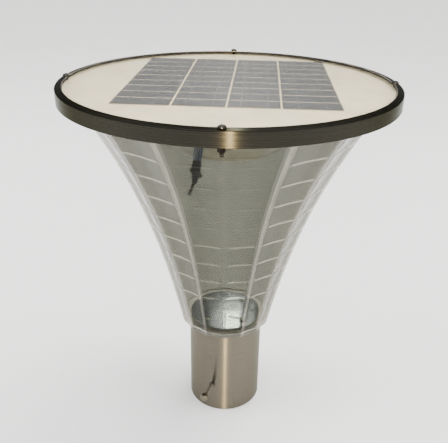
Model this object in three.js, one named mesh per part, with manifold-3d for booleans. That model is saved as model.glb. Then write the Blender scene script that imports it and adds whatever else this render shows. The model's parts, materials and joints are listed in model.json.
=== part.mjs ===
// Solar garden light for the top of a post. Millimetres, +Z up, origin at the centre of the
// mounting sleeve's lower end. Azimuths are in degrees, counter-clockwise from the front (-Y).
import * as THREE from "three";
import { mergeVertices } from "three/addons/utils/BufferGeometryUtils.js";
import Module from "manifold-3d";

const wasm = await Module();
wasm.setup();

// ---------------------------------------------------------------- driving dimensions

const CLEARANCE = 0.3; // between pieces that touch
const ROUND = 64; // sides of a large round piece
const HOUSING_ROUND = 48; // sides of the housing
const INNER_ROUND = 32; // sides of a large round piece that stays hidden
const SMALL_ROUND = 12; // sides of a small round piece

const RIM_RADIUS = 185; // the widest point of the light
const RIM_SHEET = 0.8; // thickness of the rim ring's steel
const RIM_LOW = 412.8;
const RIM_HIGH = 427.6;
const LIP_RADIUS = 177.4; // inner edge of the rim ring's lip
const LIP_HIGH = 428.9; // the lip rises a little towards the panel
const STACK_RADIUS = 183.2; // panel, gasket and flange inside the rim ring

const RIM_SCREW_RADIUS = 179.5; // pitch circle of the four M4 rim screws
const RIM_SCREW_SHAFT = 1.9;
const RIM_SCREW_HOLE = 2.3;
const QUARTERS = [0, 90, 180, 270];

const FACETS = 16;
const SHADE_LOW = 123.8;
const SHADE_FLARE_HEIGHT = 291;
const SHADE_FLARE = [56.9, 62.4, 19.4, 29.1]; // ridge radius as a cubic of the height share
const SHADE_WALL = 3;
const FLANGE_LOW = 413.3;
const FLANGE_HIGH = 416.3;
const RIB_FIRST = 191;
const RIB_PITCH = 27;
const RIB_COUNT = 8;
const RIB_HEIGHT = 0.8;

const SLEEVE_RADIUS = 46.5;
const SLEEVE_WALL = 1.5;
const SLEEVE_HIGH = 122.7;
const CAP_THICKNESS = 8;
const CLAMP_HEIGHT = 39; // of the two clamp bolts above the sleeve's end
const CLAMP_AZIMUTHS = [-19, 161];
const CLAMP_REACH = 74.5; // from the axis to the end of the bolt's head
const PLATE_SCREW_RADIUS = 32;
const PLATE_SCREW_AZIMUTHS = [45, 135, 225, 315];

const STRING_EDGES = [-111.8, -52.3, 0.9, 53.1, 111.8]; // where the four cell strings part
const STRING_GAP = 2;
const STRING_LENGTH = 236; // nine half cells with their gaps
const ARRAY_TURN = -1.36; // the cells are laid a little off square
const ARRAY_CENTRE = [2.2, 18]; // and nearer the back than the front
const GLASS_THICKNESS = 3.2;
const GLASS_LOW = 422.8;
const CELL_LOW = 422.1;
const BACKSHEET_LOW = 420.3;
const BACKSHEET_THICKNESS = 1.5;

const HOUSING_RADIUS = 65;
const HOUSING_WALL = 2.5;
const HOUSING_LOW = 361.3;
const HOUSING_HIGH = 420;
const COVER_LOW = 358;
const COVER_SCREW_RADIUS = 56;
const COVER_SCREW_AZIMUTHS = [60, 180, 300];
const CELL_RADIUS = 9.2; // of a 65 mm round battery cell
const CELL_LENGTH = 65.2;
const CELL_PITCH = 19.2;
const CELL_AXIS_HEIGHT = 399;
const GROMMET_AZIMUTH = -21;
const GROMMET_HEIGHT = 399;

const SWITCH_MOUTH = new THREE.Vector3(-31.4, -83, 340.7); // end of the switch's bushing
const SWITCH_TILT = 6.7;
const SWITCH_HANG = 39; // from the bushing's end to where the leads bend
const TERMINAL_OFFSET = 2.35;
const WASHER_HEIGHT = 11.2; // the washer is loose and leans on the bushing
const WASHER_LEAN = 24;
const LEVER_PIVOT = 3; // depth of the lever's pivot in the bushing
const LEVER_LEAN = 13;
const LEAD_RADIUS = 0.9;

// ---------------------------------------------------------------- helpers

const rad = THREE.MathUtils.degToRad;
const group = new THREE.Group();

// A solid of revolution about Z. The profile runs anticlockwise as [radius, height] points.
function turned(profile, sides = ROUND) {
  const points = profile.map(([r, z]) => new THREE.Vector2(r, z));
  return new THREE.LatheGeometry(points, sides).rotateX(Math.PI / 2);
}

function disc(radius, low, high, sides = ROUND) {
  return turned([[0, low], [radius, low], [radius, high], [0, high]], sides);
}

function ring(inner, outer, low, high, sides = ROUND) {
  return turned([[inner, low], [outer, low], [outer, high], [inner, high], [inner, low]], sides);
}

function box(width, depth, height, x, y, low) {
  return new THREE.BoxGeometry(width, depth, height).translate(x, y, low + height / 2);
}

// Turns a geometry built along +Z so that it points outwards at an azimuth.
function radial(geometry, azimuth, height) {
  return geometry.rotateX(Math.PI / 2).rotateZ(rad(azimuth)).translate(0, 0, height);
}

function polar(radius, azimuth) {
  return [radius * Math.sin(rad(azimuth)), -radius * Math.cos(rad(azimuth))];
}

function solid(geometry) {
  const bare = new THREE.BufferGeometry();
  bare.setAttribute("position", geometry.getAttribute("position").clone());
  if (geometry.index) bare.setIndex(geometry.index.clone());
  const merged = mergeVertices(bare, 1e-3);
  return new wasm.Manifold(
    new wasm.Mesh({
      numProp: 3,
      vertProperties: merged.attributes.position.array,
      triVerts: new Uint32Array(merged.index.array),
    }),
  );
}

function geometryOf(made) {
  const mesh = made.getMesh();
  return new THREE.BufferGeometry()
    .setAttribute("position", new THREE.BufferAttribute(mesh.vertProperties, 3))
    .setIndex(new THREE.BufferAttribute(mesh.triVerts, 1));
}

function cut(base, tools) {
  return geometryOf(tools.reduce((made, tool) => made.subtract(solid(tool)), solid(base)));
}

function join(pieces) {
  return geometryOf(pieces.slice(1).reduce((made, p) => made.add(solid(p)), solid(pieces[0])));
}

// Upright round holes on a pitch circle.
function holes(radius, pitchRadius, azimuths, low, high) {
  return azimuths.map((azimuth) => {
    const [x, y] = polar(pitchRadius, azimuth);
    return disc(radius, low, high, SMALL_ROUND).translate(x, y, 0);
  });
}

function rimHoles() {
  return holes(RIM_SCREW_HOLE, RIM_SCREW_RADIUS, QUARTERS, FLANGE_LOW - 5, LIP_HIGH + 5);
}

function finish(color, roughness, metalness) {
  return new THREE.MeshStandardMaterial({ color, roughness, metalness, flatShading: true });
}

function add(name, geometry, material, parent = group) {
  const mesh = new THREE.Mesh(geometry, material);
  mesh.name = name;
  parent.add(mesh);
  return mesh;
}

// ---------------------------------------------------------------- materials

const brushedSteel = () => finish(0x948a78, 0.35, 1);
const brightSteel = () => finish(0xc8c8c4, 0.2, 1);
const darkSteel = () => finish(0x55544f, 0.35, 1);
const castAluminium = () => finish(0xa8a8a6, 0.5, 1);
const seal = () => finish(0x1c1c1c, 0.8, 0);
const circuitBoard = () => finish(0x1e5a34, 0.6, 0);
const greyPlastic = () => finish(0x8b8f8c, 0.5, 0);
const insulation = () => finish(0x33405c, 0.6, 0);

// ---------------------------------------------------------------- sleeve and clamp bolts

function mountingSleeve() {
  const tube = ring(SLEEVE_RADIUS - SLEEVE_WALL, SLEEVE_RADIUS, 0, SLEEVE_HIGH);
  const insertHole = (azimuth) =>
    radial(disc(4.5, SLEEVE_RADIUS - 6, SLEEVE_RADIUS + 3, SMALL_ROUND), azimuth, CLAMP_HEIGHT);
  add("mounting_sleeve", cut(tube, CLAMP_AZIMUTHS.map(insertHole)), brushedSteel());

  const capRadius = SLEEVE_RADIUS - SLEEVE_WALL - CLEARANCE;
  const capLow = SLEEVE_HIGH - CAP_THICKNESS;
  const cap = disc(capRadius, capLow, SLEEVE_HIGH, INNER_ROUND);
  const tapped = holes(2.7, PLATE_SCREW_RADIUS, PLATE_SCREW_AZIMUTHS, capLow - 1, SLEEVE_HIGH + 1);
  add("sleeve_cap", cut(cap, tapped), castAluminium());
}

function clampBolts() {
  const insertOuter = SLEEVE_RADIUS + 0.3;
  const insertInner = SLEEVE_RADIUS - SLEEVE_WALL - 0.2;
  CLAMP_AZIMUTHS.forEach((azimuth, i) => {
    const insert = ring(2.7, 4.2, insertInner, insertOuter, SMALL_ROUND);
    add(`bolt_insert_${i + 1}`, radial(insert, azimuth, CLAMP_HEIGHT), brightSteel());

    const shaft = disc(2.4, insertInner + 0.2, CLAMP_REACH - 4, SMALL_ROUND);
    const head = disc(5.2, CLAMP_REACH - 5, CLAMP_REACH, 6);
    add(`clamp_bolt_${i + 1}`, radial(join([shaft, head]), azimuth, CLAMP_HEIGHT), darkSteel());
  });
}

// ---------------------------------------------------------------- shade

function shadeRadius(height) {
  const share = (height - SHADE_LOW) / SHADE_FLARE_HEIGHT;
  return SHADE_FLARE.reduceRight((sum, coefficient) => sum * share + coefficient, 0);
}

function shade() {
  const outside = [];
  const inside = [];
  const wall = SHADE_WALL / Math.cos(Math.PI / FACETS);
  const floor = SHADE_LOW + SHADE_WALL;
  for (const height of [SHADE_LOW, SHADE_LOW + 22, SHADE_LOW + 45]) {
    outside.push([shadeRadius(height), height]);
  }
  for (let i = 0; i < RIB_COUNT; i++) {
    const height = RIB_FIRST + i * RIB_PITCH;
    outside.push([shadeRadius(height - 1.3), height - 1.3]);
    outside.push([shadeRadius(height) + RIB_HEIGHT, height - 0.4]);
    outside.push([shadeRadius(height) + RIB_HEIGHT, height + 0.4]);
    outside.push([shadeRadius(height + 1.3), height + 1.3]);
  }
  outside.push([shadeRadius(FLANGE_HIGH), FLANGE_HIGH]);
  for (let i = 0; i <= 10; i++) {
    const height = THREE.MathUtils.lerp(FLANGE_HIGH, floor, i / 10);
    inside.push([shadeRadius(height) - wall, height]);
  }
  const shell = turned([[0, SHADE_LOW], ...outside, ...inside, [0, floor]], FACETS);

  const mouth = disc(shadeRadius(FLANGE_LOW) - wall, FLANGE_LOW - 1, FLANGE_HIGH + 1, FACETS);
  const flange = cut(disc(STACK_RADIUS, FLANGE_LOW, FLANGE_HIGH), [mouth, ...rimHoles()]);
  const floorHoles = holes(2.8, PLATE_SCREW_RADIUS, PLATE_SCREW_AZIMUTHS, SHADE_LOW - 1, floor + 1);
  const clear = finish(0xd9dad2, 0.1, 0);
  clear.transparent = true;
  clear.opacity = 0.45;
  add("shade", cut(join([shell, flange]), floorHoles), clear);
}

function shadeFixing() {
  const gasketLow = SLEEVE_HIGH + CLEARANCE;
  const gasketHigh = SHADE_LOW - CLEARANCE;
  const gasketHoles = holes(2.8, PLATE_SCREW_RADIUS, PLATE_SCREW_AZIMUTHS, gasketLow - 1, gasketHigh + 1);
  add("floor_gasket", cut(disc(46, gasketLow, gasketHigh, INNER_ROUND), gasketHoles), seal());

  const plateLow = SHADE_LOW + SHADE_WALL + CLEARANCE;
  const plateHigh = plateLow + 2;
  const plate = turned([
    [0, plateLow], [43.5, plateLow], [43.5, plateHigh - 0.6], [42.9, plateHigh], [0, plateHigh],
  ]);
  const plateHoles = holes(2.8, PLATE_SCREW_RADIUS, PLATE_SCREW_AZIMUTHS, plateLow - 1, plateHigh + 1);
  add("clamp_plate", cut(plate, plateHoles), brightSteel());

  PLATE_SCREW_AZIMUTHS.forEach((azimuth, i) => {
    const [x, y] = polar(PLATE_SCREW_RADIUS, azimuth);
    const tip = SLEEVE_HIGH - CAP_THICKNESS + 1;
    const screw = panHeadScrew(2.4, 4.5, tip, plateHigh + CLEARANCE, 2.2);
    add(`plate_screw_${i + 1}`, screw.translate(x, y, 0), brightSteel());
  });
}

// A pan-head machine screw pointing down, from its tip to the seat of its head.
function panHeadScrew(shaft, head, tip, seat, rise) {
  return turned([
    [0, tip], [shaft - 0.5, tip], [shaft, tip + 0.5], [shaft, seat], [head, seat],
    [head, seat + 0.45 * rise], [head * 0.86, seat + 0.8 * rise], [head * 0.6, seat + rise],
    [0, seat + rise],
  ], SMALL_ROUND);
}

// ---------------------------------------------------------------- rim

function rimRing() {
  const ringProfile = [
    [RIM_RADIUS - RIM_SHEET, RIM_LOW], [RIM_RADIUS, RIM_LOW],
    [RIM_RADIUS, RIM_HIGH - 0.6], [RIM_RADIUS - 0.5, RIM_HIGH],
    [LIP_RADIUS, LIP_HIGH], [LIP_RADIUS, LIP_HIGH - RIM_SHEET],
    [RIM_RADIUS - RIM_SHEET, RIM_HIGH - RIM_SHEET], [RIM_RADIUS - RIM_SHEET, RIM_LOW],
  ];
  add("rim_ring", cut(turned(ringProfile), rimHoles()), darkSteel());

  const glassHigh = GLASS_LOW + GLASS_THICKNESS;
  const under = CLEARANCE + RIM_SHEET;
  const gasketProfile = [
    [LIP_RADIUS + 0.3, glassHigh + CLEARANCE], [STACK_RADIUS, glassHigh + CLEARANCE],
    [STACK_RADIUS, RIM_HIGH + 0.1 - under], [LIP_RADIUS + 0.3, LIP_HIGH - 0.1 - under],
    [LIP_RADIUS + 0.3, glassHigh + CLEARANCE],
  ];
  add("rim_gasket", cut(turned(gasketProfile, INNER_ROUND), rimHoles()), seal());

  const flangeGasket = ring(
    168, STACK_RADIUS, FLANGE_HIGH + CLEARANCE, BACKSHEET_LOW - CLEARANCE, INNER_ROUND,
  );
  add("flange_gasket", cut(flangeGasket, rimHoles()), seal());
}

function rimFasteners() {
  QUARTERS.forEach((azimuth, i) => {
    const [x, y] = polar(RIM_SCREW_RADIUS, azimuth);
    const number = i + 1;
    const screw = panHeadScrew(RIM_SCREW_SHAFT, 3.9, 403.7, LIP_HIGH + CLEARANCE, 2.3);
    add(`rim_screw_${number}`, screw.translate(x, y, 0), brightSteel());

    const washer = ring(2.2, 3.9, RIM_LOW - 0.6, FLANGE_LOW - CLEARANCE, SMALL_ROUND);
    add(`rim_washer_${number}`, washer.translate(x, y, 0), brightSteel());

    const nutHigh = RIM_LOW - 0.9;
    const hexagon = disc(3.9, nutHigh - 3.4, nutHigh, 6);
    const collar = disc(3.1, nutHigh - 5, nutHigh - 3, SMALL_ROUND);
    const nut = cut(join([hexagon, collar]), [disc(2.2, nutHigh - 6, nutHigh + 1, SMALL_ROUND)]);
    add(`rim_nut_${number}`, nut.rotateZ(rad(azimuth + 30)).translate(x, y, 0), brightSteel());
  });
}

// ---------------------------------------------------------------- solar panel

function solarPanel() {
  const glass = cut(disc(STACK_RADIUS, GLASS_LOW, GLASS_LOW + GLASS_THICKNESS), rimHoles());
  const clear = finish(0xf4f5f0, 0.05, 0);
  clear.transparent = true;
  clear.opacity = 0.2;
  add("panel_glass", glass, clear);

  const backsheet = disc(STACK_RADIUS, BACKSHEET_LOW, BACKSHEET_LOW + BACKSHEET_THICKNESS);
  add("panel_backsheet", cut(backsheet, rimHoles()), finish(0xe2dcc8, 0.7, 0));

  const array = new THREE.Group();
  array.rotation.z = rad(ARRAY_TURN);
  array.position.set(...ARRAY_CENTRE, 0);
  group.add(array);
  for (let i = 1; i < STRING_EDGES.length; i++) {
    const [left, right] = [STRING_EDGES[i - 1], STRING_EDGES[i]];
    const width = right - left - STRING_GAP;
    const string = box(width, STRING_LENGTH, 0.4, (left + right) / 2, 0, CELL_LOW);
    add(`cell_string_${i}`, string, finish(0x82827d, 0.45, 0.2), array);
  }

  const boxHigh = BACKSHEET_LOW - CLEARANCE;
  add("junction_box", box(44, 26, 9, 0, 0, boxHigh - 9), finish(0x1d1d1d, 0.5, 0));
}

// ---------------------------------------------------------------- light and battery housing

function housing() {
  const inner = HOUSING_RADIUS - HOUSING_WALL;
  const body = turned([
    [inner, HOUSING_LOW], [HOUSING_RADIUS, HOUSING_LOW], [HOUSING_RADIUS, HOUSING_HIGH - 2],
    [HOUSING_RADIUS - 2, HOUSING_HIGH], [0, HOUSING_HIGH], [0, HOUSING_HIGH - HOUSING_WALL],
    [inner, HOUSING_HIGH - HOUSING_WALL], [inner, HOUSING_LOW],
  ], HOUSING_ROUND);
  const bosses = COVER_SCREW_AZIMUTHS.map((azimuth) => {
    const [x, y] = polar(COVER_SCREW_RADIUS + 2.2, azimuth);
    return disc(4.6, HOUSING_LOW, HOUSING_HIGH - 1, SMALL_ROUND).translate(x, y, 0);
  });
  const screwHoles = holes(1.6, COVER_SCREW_RADIUS, COVER_SCREW_AZIMUTHS, HOUSING_LOW - 1, HOUSING_LOW + 12);
  const boxHole = box(46, 28, 10, 0, 0, HOUSING_HIGH - 6);
  const bore = disc(4.4, inner - 5, HOUSING_RADIUS + 5, SMALL_ROUND);
  const grommetHole = radial(bore, GROMMET_AZIMUTH, GROMMET_HEIGHT);
  add("housing_body", cut(join([body, ...bosses]), [...screwHoles, boxHole, grommetHole]), greyPlastic());

  const coverHigh = HOUSING_LOW - CLEARANCE;
  const cover = turned([
    [44, COVER_LOW], [HOUSING_RADIUS - 1, COVER_LOW], [HOUSING_RADIUS, COVER_LOW + 1],
    [HOUSING_RADIUS, coverHigh], [44, coverHigh], [44, COVER_LOW],
  ], HOUSING_ROUND);
  const coverHoles = holes(1.8, COVER_SCREW_RADIUS, COVER_SCREW_AZIMUTHS, COVER_LOW - 1, HOUSING_LOW + 1);
  add("housing_cover", cut(cover, coverHoles), greyPlastic());
  COVER_SCREW_AZIMUTHS.forEach((azimuth, i) => {
    const [x, y] = polar(COVER_SCREW_RADIUS, azimuth);
    const screw = turned([
      [0, COVER_LOW - 2], [1.8, COVER_LOW - 2], [2.8, COVER_LOW - 1], [2.8, COVER_LOW - CLEARANCE],
      [1.3, COVER_LOW - CLEARANCE], [1.3, COVER_LOW + 11], [0, COVER_LOW + 12],
    ], SMALL_ROUND);
    add(`cover_screw_${i + 1}`, screw.translate(x, y, 0), brightSteel());
  });

  const lens = turned([
    [0, COVER_LOW], [43.7, COVER_LOW + 0.6], [43.7, COVER_LOW + 3.3], [47, COVER_LOW + 3.3],
    [47, COVER_LOW + 5], [0, COVER_LOW + 5],
  ], HOUSING_ROUND);
  add("led_lens", lens, finish(0xf2f1ea, 0.4, 0));
}

function electronics() {
  const chips = [];
  const boardLow = COVER_LOW + 7;
  for (let i = 0; i < 9; i++) {
    const [x, y] = i ? polar(24, i * 45) : [0, 0];
    chips.push(box(5, 5, 1, x, y, boardLow - 0.8));
  }
  add("led_board", join([disc(40, boardLow, boardLow + 1.6, INNER_ROUND), ...chips]), circuitBoard());

  const controllerLow = COVER_LOW + 17;
  const parts = [
    box(76, 46, 1.6, 0, 0, controllerLow),
    box(16, 10, 7, -24, 12, controllerLow + 1),
    box(16, 10, 7, -24, -12, controllerLow + 1),
    box(9, 9, 3, 4, 0, controllerLow + 1),
    disc(4, controllerLow + 1, controllerLow + 9, SMALL_ROUND).translate(24, 8, 0),
  ];
  add("controller_board", join(parts), circuitBoard());

  const trayWidth = 4 * CELL_PITCH + 6;
  const trayLow = CELL_AXIS_HEIGHT - CELL_RADIUS - 3;
  const pocket = box(trayWidth - 5, CELL_LENGTH + 2, 30, 0, 0, trayLow + 2);
  const tray = cut(box(trayWidth, CELL_LENGTH + 7, 13, 0, 0, trayLow), [pocket]);
  add("battery_holder", tray, finish(0x202020, 0.6, 0));
  for (let i = 0; i < 4; i++) {
    const x = (i - 1.5) * CELL_PITCH;
    const cell = disc(CELL_RADIUS, -CELL_LENGTH / 2, CELL_LENGTH / 2, 16).rotateX(Math.PI / 2);
    add(`battery_cell_${i + 1}`, cell.translate(x, 0, CELL_AXIS_HEIGHT), finish(0x2d6f8f, 0.4, 0));
  }
}

// ---------------------------------------------------------------- leads and toggle switch

// A point given in the switch's own frame, whose +Z runs up its bushing.
function switchPoint(x, y, z) {
  const up = new THREE.Vector3(0, 1, 0);
  return new THREE.Vector3(x, y, z).applyAxisAngle(up, rad(SWITCH_TILT)).add(SWITCH_MOUTH);
}

function tube(path, radius, steps) {
  const section = new THREE.Shape();
  for (let i = 0; i < 8; i++) {
    const [x, y] = polar(radius, i * 45);
    if (i) section.lineTo(x, y);
    else section.moveTo(x, y);
  }
  return new THREE.ExtrudeGeometry(section, { steps, extrudePath: path, curveSegments: 1 });
}

function leads() {
  const grommet = turned([
    [3, 61], [5.6, 61], [5.6, 62.1], [4.1, 62.1], [4.1, 65.4], [5.6, 65.4], [5.6, 66.4],
    [3.8, 68.4], [3, 68.4], [3, 61],
  ], SMALL_ROUND);
  add("lead_grommet", radial(grommet, GROMMET_AZIMUTH, GROMMET_HEIGHT), seal());

  const along = polar(1, GROMMET_AZIMUTH);
  const across = polar(1, GROMMET_AZIMUTH + 90);
  [-1, 1].forEach((side, i) => {
    const from = (reach, apart, height) =>
      new THREE.Vector3(
        along[0] * reach + across[0] * apart * side,
        along[1] * reach + across[1] * apart * side,
        height,
      );
    const end = TERMINAL_OFFSET * side;
    const path = new THREE.CatmullRomCurve3([
      from(56, 1.3, GROMMET_HEIGHT), from(64, 1.3, GROMMET_HEIGHT), from(72, 1.4, GROMMET_HEIGHT),
      from(80, 1.7, GROMMET_HEIGHT - 1.5), from(85, 2, GROMMET_HEIGHT - 6),
      switchPoint(end, -0.6, SWITCH_HANG + 8), switchPoint(end, 0, SWITCH_HANG),
    ]);
    add(`lead_${i + 1}`, tube(path, LEAD_RADIUS, 22), insulation());
  });

  const boxEnd = new THREE.Vector3(23, 0, HOUSING_HIGH - 4);
  const down = new THREE.CatmullRomCurve3([
    boxEnd, new THREE.Vector3(34, 4, HOUSING_HIGH - 8), new THREE.Vector3(46, 10, 400),
    new THREE.Vector3(46, 12, 388), new THREE.Vector3(40, 10, 378),
  ]);
  add("panel_lead", tube(down, 1.4, 16), insulation());
}

function toggleSwitch() {
  const frame = new THREE.Group();
  frame.position.copy(SWITCH_MOUTH);
  frame.rotation.y = rad(SWITCH_TILT);
  group.add(frame);

  const terminals = [-TERMINAL_OFFSET, TERMINAL_OFFSET].map((x) => box(1.6, 0.8, 5, x, 0, 24.4));
  const shell = [box(9.2, 8, 8, 0, 0, 14.4), box(8.4, 6, 2.6, 0, 0, 22.2)];
  add("switch_body", join([...shell, ...terminals]), finish(0x23252a, 0.5, 0), frame);

  const bushing = ring(2.25, 2.9, 0, 14.1, SMALL_ROUND);
  add("switch_bushing", bushing, brightSteel(), frame);
  const washer = ring(3.8, 8.4, -0.5, 0.5, 24).rotateY(rad(WASHER_LEAN));
  add("switch_washer", washer.translate(0, 0, WASHER_HEIGHT), darkSteel(), frame);
  const nut = cut(disc(4.6, 5.6, 7.8, 6), [disc(3.2, 4, 9, SMALL_ROUND)]);
  add("switch_nut", nut, brightSteel(), frame);

  [-1, 1].forEach((side, i) => {
    const sleeve = ring(1.3, 1.95, 25.2, SWITCH_HANG - 0.5, SMALL_ROUND);
    add(`heat_shrink_${i + 1}`, sleeve.translate(side * TERMINAL_OFFSET, 0, 0), insulation(), frame);
  });

  const pivot = new THREE.Group();
  pivot.position.z = LEVER_PIVOT;
  pivot.rotation.y = rad(LEVER_LEAN);
  frame.add(pivot);
  const lever = turned([
    [0, -18.2], [1.4, -18], [2.1, -17.2], [2.2, -16.2], [1.7, -14.5], [1.6, -6], [1.15, -3.4],
    [1.15, -1], [1.6, 0], [1.15, 1.2], [0, 1.6],
  ], SMALL_ROUND);
  add("switch_lever", lever, brightSteel(), pivot);
}

mountingSleeve();
clampBolts();
shade();
shadeFixing();
rimRing();
rimFasteners();
solarPanel();
housing();
electronics();
leads();
toggleSwitch();

export default group;
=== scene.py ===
import json
import math

import bpy
import numpy as np
from mathutils import Matrix, Vector


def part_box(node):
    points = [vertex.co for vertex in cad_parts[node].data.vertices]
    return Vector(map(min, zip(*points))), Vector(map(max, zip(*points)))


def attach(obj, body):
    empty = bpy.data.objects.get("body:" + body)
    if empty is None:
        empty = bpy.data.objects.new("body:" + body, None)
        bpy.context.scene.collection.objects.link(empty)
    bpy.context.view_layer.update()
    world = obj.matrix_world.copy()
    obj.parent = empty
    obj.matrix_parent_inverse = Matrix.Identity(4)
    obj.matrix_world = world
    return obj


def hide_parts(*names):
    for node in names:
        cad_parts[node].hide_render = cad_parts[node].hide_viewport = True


# Looks of the solar garden light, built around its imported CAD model. Metres, +Z up, front at -Y.

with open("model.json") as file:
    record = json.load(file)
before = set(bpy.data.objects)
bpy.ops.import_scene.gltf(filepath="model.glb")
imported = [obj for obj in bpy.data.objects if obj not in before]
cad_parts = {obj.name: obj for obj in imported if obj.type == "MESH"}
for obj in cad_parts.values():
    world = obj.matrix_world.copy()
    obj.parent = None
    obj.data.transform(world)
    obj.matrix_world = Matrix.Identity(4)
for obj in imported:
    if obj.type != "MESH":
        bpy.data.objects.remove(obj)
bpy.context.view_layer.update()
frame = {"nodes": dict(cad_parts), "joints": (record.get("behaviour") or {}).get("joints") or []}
MM = 0.001
TAU = 2 * math.pi

# ---------------------------------------------------------------- sizes read from the frame

RIM_LOW, RIM_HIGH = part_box("rim_ring")
SLEEVE_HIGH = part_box("mounting_sleeve")[1]
SHADE_LOW, SHADE_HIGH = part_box("shade")
PLATE_LOW, PLATE_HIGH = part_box("clamp_plate")
GLASS_LOW, GLASS_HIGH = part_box("panel_glass")
SHEET_LOW, SHEET_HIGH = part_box("panel_backsheet")
HOUSING_LOW, HOUSING_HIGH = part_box("housing_body")
COVER_LOW, COVER_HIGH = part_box("housing_cover")
JOINTS = {joint["name"]: joint for joint in frame["joints"]}
RIM_RADIUS = RIM_HIGH.x
SLEEVE_RADIUS = SLEEVE_HIGH.x
HOUSING_RADIUS = HOUSING_HIGH.y

FACETS = 16  # flat sides of the shade


def centre_of(node):
    low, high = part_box(node)
    return (low + high) / 2


# ---------------------------------------------------------------- meshes

SMALL_SIDES = 32
LARGE_SIDES = 128
FINEST_SIDES = 256
TUBE_SIDES = 16
SHARP_DEGREES = 35  # an edge that turns more than this is drawn sharp
BEVEL_DEGREES = 40
FILLET_SHARE = 0.45  # the most of a side that one fillet takes
LONG_SIDE = 4  # in fillets: a longer side has a point beside each fillet
BESIDE = 1.4  # how far along the side that point is, in fillets


def around(axis_point, direction):
    """Matrix that carries +Z at the origin to a direction at a point."""
    turn = Vector(direction).to_track_quat("Z", "Y").to_matrix().to_4x4()
    return Matrix.Translation(Vector(axis_point)) @ turn


def filleted(points, radius, steps=4, closed=True):
    """An outline with rounded corners. A point beside each fillet keeps the long sides flat."""
    made = []
    count = len(points)
    for i, corner in enumerate(points):
        if not closed and i in (0, count - 1):
            made.append(corner)
            continue
        corner = Vector(corner)
        before = Vector(points[i - 1]) - corner
        after = Vector(points[(i + 1) % count]) - corner
        reach = min(radius, before.length * FILLET_SHARE, after.length * FILLET_SHARE)
        start = corner + before.normalized() * reach
        end = corner + after.normalized() * reach
        if before.length > LONG_SIDE * reach:
            made.append(tuple(corner + before.normalized() * BESIDE * reach))
        for k in range(steps + 1):
            t = k / steps
            made.append(tuple(start * (1 - t) ** 2 + corner * 2 * t * (1 - t) + end * t**2))
        if after.length > LONG_SIDE * reach:
            made.append(tuple(corner + after.normalized() * BESIDE * reach))
    return made


class Shape:
    """Faces gathered from simple forms, each with a material slot."""

    def __init__(self):
        self.verts = []
        self.faces = []
        self.slots = []

    def add(self, verts, faces, slot=0, place=None):
        first = len(self.verts)
        place = place or Matrix.Identity(4)
        self.verts += [tuple(place @ Vector(v)) for v in verts]
        self.faces += [tuple(first + i for i in face) for face in faces]
        self.slots += [slot] * len(faces)
        return self

    def revolve(self, profile, sides, place=None, closed=False):
        """Turns an anticlockwise (radius, height) profile about Z. An open one begins and ends on Z."""
        rings = []
        verts = []
        for radius, height in profile:
            if radius < 1e-7:
                rings.append([len(verts)] * sides)
                verts.append((0, 0, height))
                continue
            rings.append(list(range(len(verts), len(verts) + sides)))
            for i in range(sides):
                a = TAU * i / sides
                verts.append((radius * math.sin(a), -radius * math.cos(a), height))
        faces = []
        pairs = list(zip(rings, rings[1:]))
        if closed:
            pairs.append((rings[-1], rings[0]))
        for low, high in pairs:
            for i in range(sides):
                j = (i + 1) % sides
                corners = [low[i], low[j], high[j], high[i]]
                face = [v for k, v in enumerate(corners) if v != corners[k - 1]]
                if len(face) > 2:
                    faces.append(face)
        return self.add(verts, faces, 0, place)

    def prism(self, outline, low, high, slot=0, place=None):
        """Raises an anticlockwise (x, y) outline from low to high."""
        count = len(outline)
        verts = [(x, y, low) for x, y in outline] + [(x, y, high) for x, y in outline]
        faces = [tuple(reversed(range(count))), tuple(range(count, 2 * count))]
        for i in range(count):
            j = (i + 1) % count
            faces.append((i, j, count + j, count + i))
        return self.add(verts, faces, slot, place)

    def box(self, low, high, slot=0, place=None):
        outline = [(low[0], low[1]), (high[0], low[1]), (high[0], high[1]), (low[0], high[1])]
        return self.prism(outline, low[2], high[2], slot, place)

    def tube(self, path, radii):
        """A round tube with closed ends along points, with one radius or one for each point."""
        path = [Vector(p) for p in path]
        if not hasattr(radii, "__len__"):
            radii = [radii] * len(path)
        sides = TUBE_SIDES
        side = Vector((1, 0, 0))
        verts = []
        for i, (point, radius) in enumerate(zip(path, radii)):
            ahead = (path[min(i + 1, len(path) - 1)] - path[max(i - 1, 0)]).normalized()
            side = (side - ahead * side.dot(ahead)).normalized()
            other = ahead.cross(side)
            for k in range(sides):
                a = TAU * k / sides
                verts.append(point + side * radius * math.cos(a) + other * radius * math.sin(a))
        faces = []
        for i in range(len(path) - 1):
            for k in range(sides):
                j = (k + 1) % sides
                faces.append((i * sides + k, i * sides + j, (i + 1) * sides + j, (i + 1) * sides + k))
        faces.append(tuple(reversed(range(sides))))
        faces.append(tuple(range((len(path) - 1) * sides, len(path) * sides)))
        return self.add(verts, faces)

    def build(self, name, materials, node, slot, body="light", sharp=SHARP_DEGREES, bevel=0):
        """Makes the mesh object that stands for a CAD node, in one material or a list of them."""
        mesh = bpy.data.meshes.new(name)
        mesh.from_pydata(self.verts, [], self.faces)
        mesh.polygons.foreach_set("material_index", self.slots)
        mesh.shade_smooth()
        mesh.set_sharp_from_angle(angle=math.radians(sharp))
        mesh.update()
        piece = bpy.data.objects.new(name, mesh)
        bpy.context.scene.collection.objects.link(piece)
        for material in materials if isinstance(materials, list) else [materials]:
            mesh.materials.append(material)
        if bevel:
            modifier = piece.modifiers.new("edges", "BEVEL")
            modifier.width = bevel
            modifier.segments = 2
            modifier.limit_method = "ANGLE"
            modifier.angle_limit = math.radians(BEVEL_DEGREES)
        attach(piece, body)
        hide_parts(node)
        return piece


# ---------------------------------------------------------------- materials

RIPPLE_SCALE = 30
ACRYLIC_TINT = (0.29, 0.292, 0.256)
# Colour of the painted highlights along the shade's ridges.
RIDGE_HIGHLIGHT_TINT = (0.92, 0.86, 0.73)


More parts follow.
